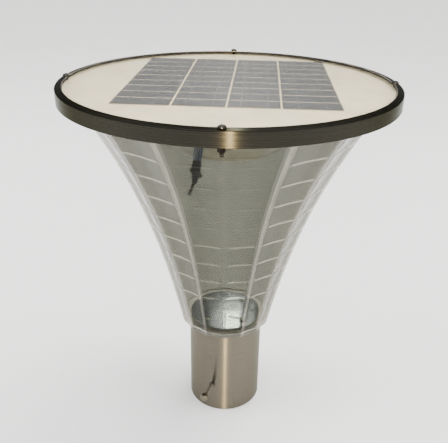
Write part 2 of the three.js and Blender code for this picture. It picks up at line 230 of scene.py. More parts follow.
class Nodes:
    """A material under construction, around one Principled shader."""

    def __init__(self, name):
        self.material = bpy.data.materials.new(name)
        self.material.use_nodes = True
        self.tree = self.material.node_tree
        self.shader = self.tree.nodes["Principled BSDF"]
        self.coordinates = self.tree.nodes.new("ShaderNodeTexCoord").outputs["Object"]

    def link(self, source, target):
        self.tree.links.new(source, target)

    def node(self, kind, **values):
        made = self.tree.nodes.new("ShaderNode" + kind)
        for key, value in values.items():
            setattr(made, key, value)
        return made

    def set(self, **values):
        for key, value in values.items():
            self.shader.inputs[key.replace("_", " ")].default_value = value

    def scaled(self, scale):
        made = self.node("Mapping")
        made.inputs["Scale"].default_value = scale
        self.link(self.coordinates, made.inputs["Vector"])
        return made.outputs["Vector"]

    def noise(self, scale, stretch=(1, 1, 1), detail=3, roughness=0.5):
        made = self.node("TexNoise")
        made.inputs["Scale"].default_value = scale
        made.inputs["Detail"].default_value = detail
        made.inputs["Roughness"].default_value = roughness
        self.link(self.scaled(stretch), made.inputs["Vector"])
        return made.outputs["Fac"]

    def math(self, operation, first, second=0):
        made = self.node("Math", operation=operation)
        for socket, value in zip(made.inputs, (first, second)):
            if hasattr(value, "links"):
                self.link(value, socket)
            else:
                socket.default_value = value
        return made.outputs[0]

    def steps(self, source, *stops):
        """Brightness along a ramp of (place, value) stops."""
        ramp = self.node("ValToRGB")
        elements = ramp.color_ramp.elements
        for i, (place, value) in enumerate(stops):
            element = elements[i] if i < 2 else elements.new(place)
            element.position = place
            element.color = (value, value, value, 1)
        self.link(source, ramp.inputs["Fac"])
        return ramp.outputs["Color"]

    def ranged(self, source, low, high, start=0.3, end=0.7):
        made = self.node("MapRange")
        for key, value in (("From Min", start), ("From Max", end), ("To Min", low), ("To Max", high)):
            made.inputs[key].default_value = value
        self.link(source, made.inputs["Value"])
        return made.outputs["Result"]

    def mixed(self, share, first, second):
        made = self.node("Mix", data_type="RGBA")
        self.link(share, made.inputs["Factor"])
        for key, value in (("A", first), ("B", second)):
            socket = [s for s in made.inputs if s.name == key and s.type == "RGBA"][0]
            if hasattr(value, "links"):
                self.link(value, socket)
            else:
                socket.default_value = (*value, 1)
        return [s for s in made.outputs if s.type == "RGBA"][0]

    def colour(self, source):
        self.link(source, self.shader.inputs["Base Color"])

    def roughness(self, source):
        self.link(source, self.shader.inputs["Roughness"])

    def bump(self, source, strength, distance=0.0002):
        made = self.node("Bump")
        made.inputs["Strength"].default_value = strength
        made.inputs["Distance"].default_value = distance
        self.link(source, made.inputs["Height"])
        self.link(made.outputs["Normal"], self.shader.inputs["Normal"])


def shaded(colour, factor):
    return tuple(min(1, c * factor) for c in colour)


def plain(name, colour, rough=0.5, metal=0, mottle=0.12, scale=60, grain=900, relief=0.15, gloss=0.5):
    """Moulded, cast or painted surface: mottled colour, uneven gloss and a fine texture."""
    made = Nodes(name)
    clouds = made.ranged(made.noise(scale), 0, 1)
    made.colour(made.mixed(clouds, shaded(colour, 1 - mottle), shaded(colour, 1 + mottle)))
    made.roughness(made.ranged(made.noise(scale * 3), rough * 0.8, rough * 1.2))
    made.bump(made.noise(grain), relief)
    made.set(Metallic=metal, Specular_IOR_Level=gloss)
    return made.material


def brushed(name, colour, rough, streak=0.16, along=(25, 25, 2200), anisotropy=0.75, edge=0.75):
    """Steel brushed round its axis, with fine scratches, faint clouds and dull smudges."""
    made = Nodes(name)
    scratches = made.noise(1, along, detail=4, roughness=0.65)
    clouds = made.ranged(made.noise(14), 0, 0.25)
    streaks = made.ranged(scratches, 0, 1)
    tint = made.mixed(streaks, shaded(colour, 1 - streak), shaded(colour, 1 + streak))
    made.colour(made.mixed(clouds, tint, shaded(colour, 0.72)))
    made.roughness(made.ranged(scratches, rough - 0.05, rough + 0.08))
    made.bump(scratches, 0.12, 0.00005)
    made.set(Metallic=1, Anisotropic=anisotropy, Anisotropic_Rotation=0.25)
    made.set(Specular_Tint=(edge, edge, edge * 0.94, 1))
    tangent = made.node("Tangent", direction_type="RADIAL", axis="Z")
    made.link(tangent.outputs["Tangent"], made.shader.inputs["Tangent"])
    return made.material


def with_painted_ridge_light(made, colour, tint, ridge):
    """A wall's colour with painted light: pale bands along the ridges as painted highlights, strongest at the
    sides and faint at the front and back, lighter facets far to the sides, and a darker tint, painted shade,
    on the facets towards the sides.
    """
    split = made.node("SeparateXYZ")
    made.link(made.coordinates, split.inputs[0])
    turn = made.math("ARCTAN2", split.outputs["X"], split.outputs["Y"])
    aside = made.math("ABSOLUTE", made.math("SINE", turn))
    folded = made.math("MULTIPLY", made.math("ARCSINE", aside), FACETS / TAU)
    wobble = made.ranged(made.noise(40), 0.49, 0.51)
    from_facet = made.math("FRACT", made.math("ADD", folded, wobble))
    # Pale band beside each ridge: a painted highlight, weighted below to the sides and away from the back, in
    # random patches.
    pale = made.steps(from_facet, (0.47, 0), (0.49, 1), (0.52, 0.8), (0.63, 0))
    at_sides = made.ranged(aside, 0.15, 1, 0.05, 0.42)
    but_back = made.ranged(made.math("COSINE", turn), 1, 0.1, 0.5, 0.8)
    patches = made.ranged(made.noise(22), 0.6, 1, 0.35, 0.6)
    for share in (at_sides, but_back, patches):
        pale = made.math("MULTIPLY", pale, share)
    # Facets far to the sides are lightened as a whole: painted light.
    pale = made.math("MAXIMUM", pale, made.ranged(aside, 0, 0.4, 0.6, 0.95))
    # Facets towards the sides take a darker tint: painted shade.
    colour = made.mixed(made.ranged(aside, 0, 1, 0.3, 0.45), colour, shaded(tint, 0.85))
    return made.mixed(pale, colour, ridge)


def clear(name, tint, rough=0.0, ior=1.16, ripple=0.04, share=1.0, ridge=None):
    """Clear moulding or glass with a faint ripple, and with painted highlights along the ridges where a ridge
    colour is given.
    """
    made = Nodes(name)
    clouds = made.ranged(made.noise(RIPPLE_SCALE), 0, 1)
    colour = made.mixed(clouds, shaded(tint, 0.94), shaded(tint, 1.04))
    made.colour(with_painted_ridge_light(made, colour, tint, ridge) if ridge else colour)
    if rough:
        made.roughness(made.ranged(made.noise(90), rough * 0.7, rough * 1.3))
    made.bump(made.noise(RIPPLE_SCALE), ripple, 0.001)
    made.set(Transmission_Weight=share, IOR=ior, Roughness=rough)
    return made.material


SLEEVE_STEEL = brushed("sleeve_steel", (0.162, 0.144, 0.112), 0.30, anisotropy=0.98)
RIM_STEEL = brushed("rim_steel", (0.036, 0.034, 0.027), 0.26, 0.25, (10, 10, 1100), 1.0, edge=0.52)
# Paler steel for the rim lip's inner edge: a painted highlight.
LIP_EDGE_HIGHLIGHT = plain("lip_edge_highlight", (0.30, 0.28, 0.24), 0.4, 1, 0.2, 300, 2500, 0.2)
SCREW_STEEL = plain("screw_steel", (0.09, 0.085, 0.075), 0.25, 1, 0.2, 500, 3000, 0.1)
NUT_STEEL = plain("nut_steel", (0.012, 0.010, 0.008), 0.35, 1, 0.2, 500, 3000, 0.1)
BOLT_STEEL = plain("bolt_steel", (0.15, 0.13, 0.10), 0.32, 1, 0.3, 400, 2500, 0.2)
PLATED = plain("plated", (0.14, 0.13, 0.12), 0.2, 1, 0.15, 400, 2500, 0.1)
MIRROR_STEEL = plain("mirror_steel", (0.55, 0.60, 0.60), 0.06, 1, 0.06, 40, 60, 0.02)
CAST = plain("cast_aluminium", (0.52, 0.52, 0.51), 0.5, 1, 0.12, 200, 1500, 0.5)
SILICONE = plain("silicone_seal", (0.55, 0.55, 0.50), 0.5, 0, 0.1, 150, 1500, 0.2, 0.2)
SEAL = plain("seal_rubber", (0.02, 0.02, 0.02), 0.7, 0, 0.3, 150, 2000, 0.3)
# The paler finishes of the shade are set by azimuth in shade_finish and are painted highlights. The ribs'
# paleness is partly their own haze.
ACRYLIC = clear("clear_acrylic", ACRYLIC_TINT, ridge=RIDGE_HIGHLIGHT_TINT)
ACRYLIC_RIDGE_HIGHLIGHT = clear("clear_acrylic_ridge_highlight", ACRYLIC_TINT, share=0.84, ridge=RIDGE_HIGHLIGHT_TINT)
ACRYLIC_INNER = clear("clear_acrylic_inner", ACRYLIC_TINT)
# Dark opaque finish for the shade's lowest ring of faces: a painted shadow where the shade meets the sleeve.
ACRYLIC_PAINTED_SHADOW = plain("acrylic_painted_shadow", (0.08, 0.065, 0.045), 0.4)
ACRYLIC_CENTRE_HIGHLIGHT = clear("clear_acrylic_centre_highlight", (0.38, 0.38, 0.34))
ACRYLIC_FOOT = clear("clear_acrylic_foot", (0.70, 0.68, 0.60), 0.1, share=0.6)
RIB = clear("acrylic_rib", (0.64, 0.60, 0.50), 0.2, share=0.8)
RIB_FAINT = clear("acrylic_rib_faint", (0.43, 0.42, 0.35), 0.1, share=0.92)
PANE = clear("panel_pane", (0.97, 0.97, 0.95), 0.0, 1.5, 0.01)
SHEET = plain("cream_sheet", (0.78, 0.68, 0.46), 0.6, 0, 0.05, 25, 700, 0.1, 0.1)
HOUSING = plain("housing_grey", (0.58, 0.62, 0.66), 0.5, 0, 0.1, 80, 1600, 0.3)
BLACK = plain("black_plastic", (0.02, 0.02, 0.02), 0.4, 0, 0.25, 200, 2000, 0.2, 0.08)
BOARD = plain("circuit_green", (0.03, 0.16, 0.07), 0.35, 0, 0.2, 300, 1500, 0.1)
WRAP = plain("battery_wrap", (0.05, 0.17, 0.28), 0.3, 0, 0.15, 100, 1200, 0.1)
WIRE = plain("wire_insulation", (0.07, 0.09, 0.14), 0.45, 0, 0.2, 300, 1500, 0.1)
SHRINK = plain("heat_shrink", (0.04, 0.07, 0.18), 0.4, 0, 0.2, 300, 1200, 0.4)
SHRINK_PALE = plain("heat_shrink_pale", (0.17, 0.23, 0.36), 0.4, 0, 0.2, 300, 1200, 0.4)
LENS = plain("frosted_lens", (0.75, 0.76, 0.72), 0.35, 0, 0.05, 60, 1200, 0.2)


def silicon(name, colour):
    """Multicrystalline silicon: large grains of slightly different grey under fine printed lines."""
    made = Nodes(name)
    grains = made.node("TexVoronoi")
    grains.inputs["Scale"].default_value = 160
    made.link(made.coordinates, grains.inputs["Vector"])
    grey = made.ranged(grains.outputs["Color"], 0, 1, 0, 1)
    crystal = made.mixed(grey, shaded(colour, 0.86), shaded(colour, 1.14))
    lines = made.node("TexWave", wave_type="BANDS", bands_direction="Y")
    lines.inputs["Scale"].default_value = 70
    made.link(made.coordinates, lines.inputs["Vector"])
    printed = made.ranged(lines.outputs["Fac"], 0, 0.15, 0.86, 1)
    made.colour(made.mixed(printed, crystal, (0.3, 0.3, 0.29)))
    made.roughness(made.ranged(made.noise(120), 0.28, 0.42))
    made.set(Specular_IOR_Level=0.1)
    return made.material


CELL = silicon("cell_silicon", (0.050, 0.050, 0.048))
RIBBON = plain("cell_ribbon", (0.085, 0.085, 0.082), 0.35, 0.3, 0.1, 300, 1500, 0.1)
# ---------------------------------------------------------------- sleeve and clamp bolts

SLEEVE_WALL = 1.5 * MM
SLEEVE_FILLET = 0.35 * MM
SLEEVE_SIDES = 192
BORE_RADIUS = 4.35 * MM
BORE_INSIDE = 4 * MM  # how far the cut runs on each side of the sleeve's face
BORE_OUTSIDE = 3 * MM
BOLT_REACH = 74.5 * MM  # from the light's axis to the top of a bolt's head
BOLT_RADIUS = 2.4 * MM
BOLT_PITCH = 0.8 * MM
BOLT_HEAD = 5 * MM
BOLT_FLANGE = 5.4 * MM
BOLT_FLATS = 9 * MM
BOLT_CROWN = (4.4 * MM, 3.8 * MM)  # radii of the chamfer on top of the head
THREAD_SIDES = 24
THREAD_CORE = 0.82  # radii at a thread's tip and in its grooves, as shares of its own
THREAD_ROOT = 0.85
INSERT_BORE = 2.6 * MM
INSERT_RADIUS = 4.2 * MM


def sleeve():
    inner = SLEEVE_RADIUS - SLEEVE_WALL
    edge = [(inner, 0), (SLEEVE_RADIUS, 0), (SLEEVE_RADIUS, SLEEVE_HIGH.z), (inner, SLEEVE_HIGH.z)]
    tube = Shape().revolve(filleted(edge, SLEEVE_FILLET), SLEEVE_SIDES, closed=True)
    piece = tube.build("mounting_sleeve_tube", SLEEVE_STEEL, "mounting_sleeve", "brushed_sleeve")
    low = SLEEVE_RADIUS - BORE_INSIDE
    high = SLEEVE_RADIUS + BORE_OUTSIDE
    for number in (1, 2):
        bore(piece, bolt_place(number), BORE_RADIUS, low, high)


def bore(piece, place, radius, low, high):
    """Cuts a round hole through a piece, along +Z of a frame."""
    mesh = bpy.data.meshes.new("bore")
    drill = Shape().revolve([(0, low), (radius, low), (radius, high), (0, high)], SMALL_SIDES, place)
    mesh.from_pydata(drill.verts, [], drill.faces)
    cutter = bpy.data.objects.new("bore", mesh)
    bpy.context.scene.collection.objects.link(cutter)
    modifier = piece.modifiers.new("bore", "BOOLEAN")
    modifier.operation = "DIFFERENCE"
    modifier.object = cutter
    cut = bpy.data.meshes.new_from_object(piece.evaluated_get(bpy.context.evaluated_depsgraph_get()))
    piece.modifiers.clear()
    piece.data = cut
    cut.shade_smooth()
    cut.set_sharp_from_angle(angle=math.radians(SHARP_DEGREES))
    bpy.data.objects.remove(cutter)


def bolt_place(number):
    """Frame of a clamp bolt: origin on the light's axis, +Z out along the bolt."""
    inward = Vector(JOINTS[f"clamp_bolt_{number}_travel"]["axis"])
    return around((0, 0, centre_of(f"clamp_bolt_{number}").z), -inward)


def outward(node):
    """Unit vector from the axis to a node, level."""
    middle = centre_of(node)
    return Vector((middle.x, middle.y, 0)).normalized()


def thread(shape, radius, low, high, pitch, place=None):
    """A screw thread as close-set grooves, with tapered ends."""
    core = radius * THREAD_CORE
    root = radius * THREAD_ROOT
    profile = [(0, low), (core, low)]
    count = max(2, round((high - low) / pitch))
    step = (high - low) / count
    for i in range(count):
        z = low + i * step
        profile += [(root, z + 0.1 * step), (radius, z + 0.45 * step), (radius, z + 0.6 * step)]
    profile += [(root, high), (0, high)]
    return shape.revolve(profile, THREAD_SIDES, place)


def hexagon(across_flats, turn=0.0):
    reach = across_flats / 2 / math.cos(math.pi / 6)
    corners = [TAU * i / 6 + turn for i in range(6)]
    return [(reach * math.cos(a), reach * math.sin(a)) for a in corners]


def clamp_bolts():
    seat = BOLT_REACH - BOLT_HEAD
    flange_top = seat + 0.7 * MM
    crown = BOLT_REACH - 0.5 * MM
    for number in (1, 2):
        node = f"clamp_bolt_{number}"
        place = bolt_place(number)
        shape = thread(Shape(), BOLT_RADIUS, SLEEVE_RADIUS - SLEEVE_WALL, seat, BOLT_PITCH, place)
        flange = [(0, seat), (BOLT_FLANGE, seat), (BOLT_FLANGE, flange_top), (0, flange_top)]
        shape.revolve(flange, SMALL_SIDES, place)
        shape.prism(hexagon(BOLT_FLATS), seat + 0.6 * MM, BOLT_REACH - 0.4 * MM, place=place)
        chamfer = [(0, crown), (BOLT_CROWN[0], crown), (BOLT_CROWN[1], BOLT_REACH), (0, BOLT_REACH)]
        shape.revolve(chamfer, THREAD_SIDES, place)
        shape.build(node + "_part", BOLT_STEEL, node, "clamp_bolt", body=node, bevel=0.15 * MM)

        insert = f"bolt_insert_{number}"
        low = SLEEVE_RADIUS - 2 * MM
        high = SLEEVE_RADIUS + 0.3 * MM
        ring = [(INSERT_BORE, low), (INSERT_RADIUS, low), (INSERT_RADIUS, high), (INSERT_BORE, high)]
        shape = Shape().revolve(filleted(ring, 0.25 * MM, 3), SMALL_SIDES, place, closed=True)
        shape.build(insert + "_part", SCREW_STEEL, insert, "fastener")


# ---------------------------------------------------------------- shade

SHADE_WALL = 3 * MM
SHADE_FLARE = (56.9 * MM, 62.4 * MM, 19.4 * MM, 29.1 * MM)  # ridge radius, cubic in the height share
SHADE_FLARE_HEIGHT = 291 * MM
FLANGE_THICKNESS = 3 * MM
FLUTE = 0.012  # depth of a facet's hollow, as a share of the ridge radius
RIDGE_NOSE = 0.006  # how far a ridge is rounded back, likewise
RIDGE_ROUNDING = 0.16  # half width of a ridge's rounding, on the scale of from_ridge
RIB_FIRST = 191 * MM
RIB_PITCH = 27 * MM
RIB_COUNT = 8
RIB_RISE = 0.6 * MM
RIB_WIDTH = 1.3 * MM
RIB_REACH = 2.7 * MM  # above and below a rib's middle, where its rise ends
RIB_START = 0.12  # a rib starts this far from a ridge and is whole RIB_FADE further on, by from_ridge
RIB_FADE = 0.25
LOW_RIB_SHARE = 0.6  # rise of the high ribs near the centre line
RIB_SEEN = 0.25 * MM  # a face on a rib that stands out more takes a rib's finish
FACET_STEPS = (0, 0.02, 0.05, 0.09, 0.14, 0.22, 0.34, 0.5, 0.66, 0.78, 0.86, 0.91, 0.95, 0.98)
INNER_STEPS = 40
MOULD_EDGE = 1.2 * MM  # rounding at the foot of the shade
FLANGE_EDGE = 0.3 * MM

CENTRE_SINE = math.sin(TAU / FACETS)  # within it lie the facets beside the centre line
EDGE_SINE = 0.2  # within it lies the ridge on the centre line, whose painted highlight is only a faint edge
BEHIND_COSINE = -0.6  # beyond it is the back wall, whose ridges get no painted highlight
EDGE_WIDTH = 0.03  # half widths of a ridge's line and of the painted highlight band along it, by from_ridge
BAND_WIDTH = 0.22
FAINT_RIB_TOP = 0.28  # above it, the ribs near the centre line are low and have the wall's finish
FOOT_HEIGHT = 2 * MM
SHADE_FINISHES = {
    "wall": ACRYLIC,
    "rib": RIB,
    "inside": ACRYLIC_INNER,
    "contact_shadow": ACRYLIC_PAINTED_SHADOW,
    "faint_rib": RIB_FAINT,
    "band": ACRYLIC_RIDGE_HIGHLIGHT,
    "edge": ACRYLIC_CENTRE_HIGHLIGHT,
    "foot": ACRYLIC_FOOT,
}


def shade_radius(height):
    share = (height - SHADE_LOW.z) / SHADE_FLARE_HEIGHT
    return sum(c * share**k for k, c in enumerate(SHADE_FLARE))


def from_ridge(azimuth):
    """0 on a ridge of the shade, 1 in the middle of a facet."""
    return abs((azimuth / TAU * FACETS + 0.5) % 1 - 0.5) * 2


def section(azimuth):
    """Radius of the shade's outline at an azimuth, as a share of the ridge radius."""
    step = TAU / FACETS
    t = from_ridge(azimuth)
    flat = math.cos(step / 2) / math.cos(step / 2 * (1 - t))
    hollow = FLUTE * math.sin(math.pi / 2 * t) ** 2
    nose = RIDGE_NOSE * max(0, 1 - t / RIDGE_ROUNDING) ** 2
    return flat - hollow - nose


def rib_rise(height, azimuth):
    """How far a horizontal rib stands out at a height, in metres."""
    nearest = round((height - RIB_FIRST) / RIB_PITCH)
    nearest = min(max(nearest, 0), RIB_COUNT - 1)
    away = (height - RIB_FIRST - nearest * RIB_PITCH) / RIB_WIDTH
    fade = min(max((from_ridge(azimuth) - RIB_START) / RIB_FADE, 0), 1)
    if height > FAINT_RIB_TOP and abs(math.sin(azimuth)) < CENTRE_SINE:
        fade *= LOW_RIB_SHARE
    return RIB_RISE * math.exp(-away * away) * fade


def shade_heights(low, high):
    """Heights of the rings of the shade's mesh, close together at the ribs."""
    heights = {low, high}
    between = RIB_PITCH - 2 * RIB_REACH
    for i in range(RIB_COUNT):
        for k in range(-6, 7):
            heights.add(RIB_FIRST + i * RIB_PITCH + k * RIB_REACH / 6)
        for k in range(1, 6):
            heights.add(RIB_FIRST + (i - 1) * RIB_PITCH + RIB_REACH + k * between / 6)
    for k in range(1, 12):
        heights.add(low + k * (RIB_FIRST - RIB_PITCH - low) / 12)
    return sorted(h for h in heights if low <= h <= high)


def shade_finish(azimuth, height, outside, rising):
    """Which of SHADE_FINISHES a face of the shade takes. The paler finishes on ridge lines, bands and ribs
    are painted highlights.
    """
    ridge = from_ridge(azimuth)
    aside = abs(math.sin(azimuth))
    behind = math.cos(azimuth) < BEHIND_COSINE
    if outside and height < SHADE_LOW.z + FOOT_HEIGHT:
        return "foot"
    # A ridge line takes a paler finish, a painted highlight. It is faint on the centre line, full at the
    # sides and left out at the back.
    if outside and ridge < EDGE_WIDTH and not behind:
        return "edge" if aside < EDGE_SINE else "rib"
    # A rib takes the pale rib finish at the sides and a faint one low down elsewhere: a painted highlight on
    # the ribs' own haze.
    if rising and rib_rise(height, azimuth) > RIB_SEEN:
        if aside >= CENTRE_SINE - 0.01 and not behind:
            return "rib"
        return "faint_rib" if height < FAINT_RIB_TOP else "wall"
    if not outside:
        return "inside"
    # Beside a ridge at the sides, and not at the back, a paler band: a painted highlight.
    if ridge < BAND_WIDTH and aside > EDGE_SINE and not behind:
        return "band"
    return "wall"


def shade():
    floor_height = SHADE_LOW.z + SHADE_WALL
    top = SHADE_HIGH.z - FLANGE_THICKNESS
    azimuths = [TAU * (facet + t) / FACETS for facet in range(FACETS) for t in FACET_STEPS]
    sides = len(azimuths)

    def ring(radius, height, ribbed=False):
        made = []
        for a in azimuths:
            reach = radius * section(a) + (rib_rise(height, a) if ribbed else 0)
            made.append((reach * math.sin(a), -reach * math.cos(a), height))
        return made

    def circle(radius, height):
        return [(radius * math.sin(a), -radius * math.cos(a), height) for a in azimuths]

    rings = [ring(shade_radius(SHADE_LOW.z) - 0.8 * MM, SHADE_LOW.z)]
    for height in shade_heights(SHADE_LOW.z + MOULD_EDGE, top):
        rings.append(ring(shade_radius(height), height, True))
    rings.append(circle(SHADE_HIGH.x - FLANGE_EDGE, top))
    rings.append(circle(SHADE_HIGH.x, top + FLANGE_EDGE))
    rings.append(circle(SHADE_HIGH.x, SHADE_HIGH.z - FLANGE_EDGE))
    rings.append(circle(SHADE_HIGH.x - FLANGE_EDGE, SHADE_HIGH.z))
    outer_rings = len(rings) - 1
    inner_wall = SHADE_WALL / math.cos(math.pi / FACETS)
    rings.append(ring(shade_radius(SHADE_HIGH.z) - inner_wall, SHADE_HIGH.z))
    for i in range(1, INNER_STEPS + 1):
        height = SHADE_HIGH.z + (floor_height + MOULD_EDGE - SHADE_HIGH.z) * i / INNER_STEPS
        rings.append(ring(shade_radius(height) - inner_wall, height))
    rings.append(ring(shade_radius(floor_height) - inner_wall - MOULD_EDGE, floor_height))

    faces = {finish: [] for finish in SHADE_FINISHES}
    for k in range(len(rings) - 1):
        for i in range(sides):
            j = (i + 1) % sides
            middle = (azimuths[i] + (azimuths[j] or TAU)) / 2
            low = rings[k][i][2]
            high = rings[k + 1][i][2]
            # The lowest ring of faces, at the foot's outer edge, takes the painted shadow.
            finish = "contact_shadow"
            if k:
                finish = shade_finish(middle, (low + high) / 2, k <= outer_rings, high > low)
            faces[finish].append((k * sides + i, k * sides + j, (k + 1) * sides + j, (k + 1) * sides + i))

    shape = Shape()
    shape.verts = [v for r in rings for v in r] + [(0, 0, SHADE_LOW.z), (0, 0, floor_height)]
    foot_centre = len(shape.verts) - 2
    floor_centre = len(shape.verts) - 1
    last = (len(rings) - 1) * sides
    for i in range(sides):
        j = (i + 1) % sides
        faces["foot"].append((foot_centre, j, i))
        faces["wall"].append((last + i, last + j, floor_centre))
    for number, finish in enumerate(SHADE_FINISHES):
        shape.faces += faces[finish]
        shape.slots += [number] * len(faces[finish])
    piece = shape.build("shade_moulding", list(SHADE_FINISHES.values()), "shade", "clear_shade", sharp=50)
    piece.visible_shadow = False


# ---------------------------------------------------------------- clamp plate and its screws

PLATE_FILLET = 0.6 * MM
PLATE_SCREW_RADIUS = 2.4 * MM
PLATE_SCREW_PITCH = 0.8 * MM
PLATE_HEAD_RADIUS = 4.5 * MM
PLATE_HEAD_RISE = 2.4 * MM


def pan_head(shape, radius, seat, rise, place=None):
    """A pan head seated at a height: a low band, then a crown in six steps, in shares of radius and rise."""
    bottom = [(0, seat), (radius * 0.96, seat), (radius, seat + 0.08 * rise)]
    profile = bottom + [(radius * 0.98, seat + 0.35 * rise)]
    for k in range(1, 7):
        a = k / 6 * math.pi / 2
        reach = 0.98 * math.cos(a) * 0.62 + 0.36 * (1 - k / 6)
        profile.append((radius * reach, seat + rise * (0.35 + 0.65 * math.sin(a))))
    profile.append((0, seat + rise))
    return shape.revolve(profile, SMALL_SIDES, place)


def cross_recess(shape, radius, top, place=None):
    """The cross recess of a screw head, as a shallow cross set into the head in a darker second material
    rather than cut: painted shade standing in for the recess.
    """
    arm = radius * 0.52
    half = radius * 0.11
    outline = [
        (half, half), (half, arm), (-half, arm), (-half, half), (-arm, half), (-arm, -half),
        (-half, -half), (-half, -arm), (half, -arm), (half, -half), (arm, -half), (arm, half),
    ]
    return shape.prism(outline, top - 0.4 * MM, top + 0.02 * MM, 1, place)


def shade_fixing():
    edge = PLATE_HIGH.x
    profile = [(0, PLATE_LOW.z), (edge, PLATE_LOW.z), (edge, PLATE_HIGH.z), (0, PLATE_HIGH.z)]
    plate = Shape().revolve(filleted(profile, PLATE_FILLET, closed=False), LARGE_SIDES)
    plate.build("clamp_plate_disc", MIRROR_STEEL, "clamp_plate", "polished_plate")
    seat = PLATE_HIGH.z + 0.05 * MM
    for number in range(1, 5):
        node = f"plate_screw_{number}"
        middle = centre_of(node)
        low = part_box(node)[0]
        place = Matrix.Translation((middle.x, middle.y, 0))
        high = PLATE_HIGH.z + 0.3 * MM
        shape = thread(Shape(), PLATE_SCREW_RADIUS, low.z, high, PLATE_SCREW_PITCH, place)
        pan_head(shape, PLATE_HEAD_RADIUS, seat, PLATE_HEAD_RISE, place)
        cross_recess(shape, PLATE_HEAD_RADIUS, PLATE_HIGH.z + 2.45 * MM, place)
        shape.build(node + "_part", [MIRROR_STEEL, PLATED], node, "fastener")


# ---------------------------------------------------------------- rim

RIM_SHEET = 0.8 * MM
RIM_SLOPE = 1.3 * MM  # how far the lip rises from the band to its inner edge
RIM_LIP = 7.6 * MM
RIM_SCREW_RADIUS = 1.95 * MM
RIM_SCREW_PITCH = 0.7 * MM
RIM_HEAD_RADIUS = 3.95 * MM
RIM_SCREW_TURN = 0.35  # each screw's cross stands at its own angle
WASHER_BORE = 2.15 * MM
WASHER_RADIUS = 3.9 * MM
NUT_FLATS = 6.9 * MM
NUT_HEX = 3.5 * MM
NUT_BORE = 2.1 * MM
NUT_COLLAR = 2.7 * MM


def rim():
    band_high = RIM_HIGH.z - RIM_SLOPE
    lip = RIM_RADIUS - RIM_LIP
    inner = RIM_RADIUS - RIM_SHEET
    profile = [
        (inner, RIM_LOW.z), (RIM_RADIUS, RIM_LOW.z), (RIM_RADIUS, band_high),
        (lip, RIM_HIGH.z), (lip, RIM_HIGH.z - RIM_SHEET), (inner, band_high - RIM_SHEET),
    ]
    shape = Shape().revolve(filleted(profile, 1.0 * MM, 5), FINEST_SIDES, closed=True)
    # The lip's inner edge takes a much paler steel than the ring: a painted highlight along the edge.
    for number, face in enumerate(shape.faces):
        if max(math.hypot(*shape.verts[v][:2]) for v in face) < lip + 0.5 * MM:
            shape.slots[number] = 1
    shape.build("rim_ring_band", [RIM_STEEL, LIP_EDGE_HIGHLIGHT], "rim_ring", "brushed_rim", sharp=60)
    for number in range(1, 5):
        rim_fastener(number)


def rim_fastener(number):
    """One of the rim's screws, with its washer and lock nut."""
    screw, washer, nut = (f"rim_{kind}_{number}" for kind in ("screw", "washer", "nut"))
    middle = centre_of(screw)
    turn = Matrix.Rotation(RIM_SCREW_TURN * number, 4, "Z")
    place = Matrix.Translation((middle.x, middle.y, 0)) @ turn
    low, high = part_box(screw)
    shape = thread(Shape(), RIM_SCREW_RADIUS, low.z, RIM_HIGH.z, RIM_SCREW_PITCH, place)
    pan_head(shape, RIM_HEAD_RADIUS, high.z - 2.5 * MM, 2.45 * MM, place)
    cross_recess(shape, RIM_HEAD_RADIUS, high.z - 0.04 * MM, place)
    shape.build(screw + "_part", [SCREW_STEEL, BLACK], screw, "fastener")

    low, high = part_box(washer)
    top = high.z + 0.2 * MM
    ring = [(WASHER_BORE, low.z), (WASHER_RADIUS, low.z), (WASHER_RADIUS, top), (WASHER_BORE, top)]
    shape = Shape().revolve(filleted(ring, 0.15 * MM, 2), SMALL_SIDES, place, closed=True)
    shape.build(washer + "_part", SCREW_STEEL, washer, "fastener")

    low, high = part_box(nut)
    shape = Shape().prism(hexagon(NUT_FLATS), high.z - NUT_HEX, high.z, place=place)
    collar_top = high.z - 3.4 * MM
    collar = [
        (NUT_BORE, low.z), (2.4 * MM, low.z), (NUT_COLLAR, low.z + 0.4 * MM),
        (NUT_COLLAR, collar_top), (NUT_BORE, collar_top),
    ]
    shape.revolve(collar, SMALL_SIDES, place, closed=True)
    shape.build(nut + "_part", NUT_STEEL, nut, "fastener", bevel=0.2 * MM)


# ---------------------------------------------------------------- solar panel

STRING_EDGES = (-111.8 * MM, -52.3 * MM, 0.9 * MM, 53.1 * MM, 111.8 * MM)
STRING_GAP = 2 * MM
STRING_LENGTH = 236 * MM
CELL_ROWS = 9
CELL_GAP = 1.5 * MM
CELL_RISE = 0.06 * MM
RIBBON_SIDE = 13 * MM
RIBBON_HALF = 0.5 * MM
ARRAY_TURN = math.radians(-1.36)
ARRAY_CENTRE = (2.2 * MM, 18 * MM)


def disc(radius, low, high, edge):
    """A disc with chamfered edges."""
    profile = [(0, low), (radius - edge, low), (radius, low + edge)]
    profile += [(radius, high - edge), (radius - edge, high), (0, high)]
    return Shape().revolve(profile, FINEST_SIDES)


def panel():
    pane = disc(GLASS_HIGH.x, GLASS_LOW.z, GLASS_HIGH.z, 0.4 * MM)
    pane = pane.build("panel_glass_pane", PANE, "panel_glass", "panel_glass", sharp=30)
    pane.visible_shadow = False
    sheet = disc(SHEET_HIGH.x, SHEET_LOW.z, SHEET_HIGH.z, 0.2 * MM)
    sheet.build("panel_backsheet_disc", SHEET, "panel_backsheet", "backsheet", sharp=30)
    for number in range(1, len(STRING_EDGES)):
        cell_string(number)


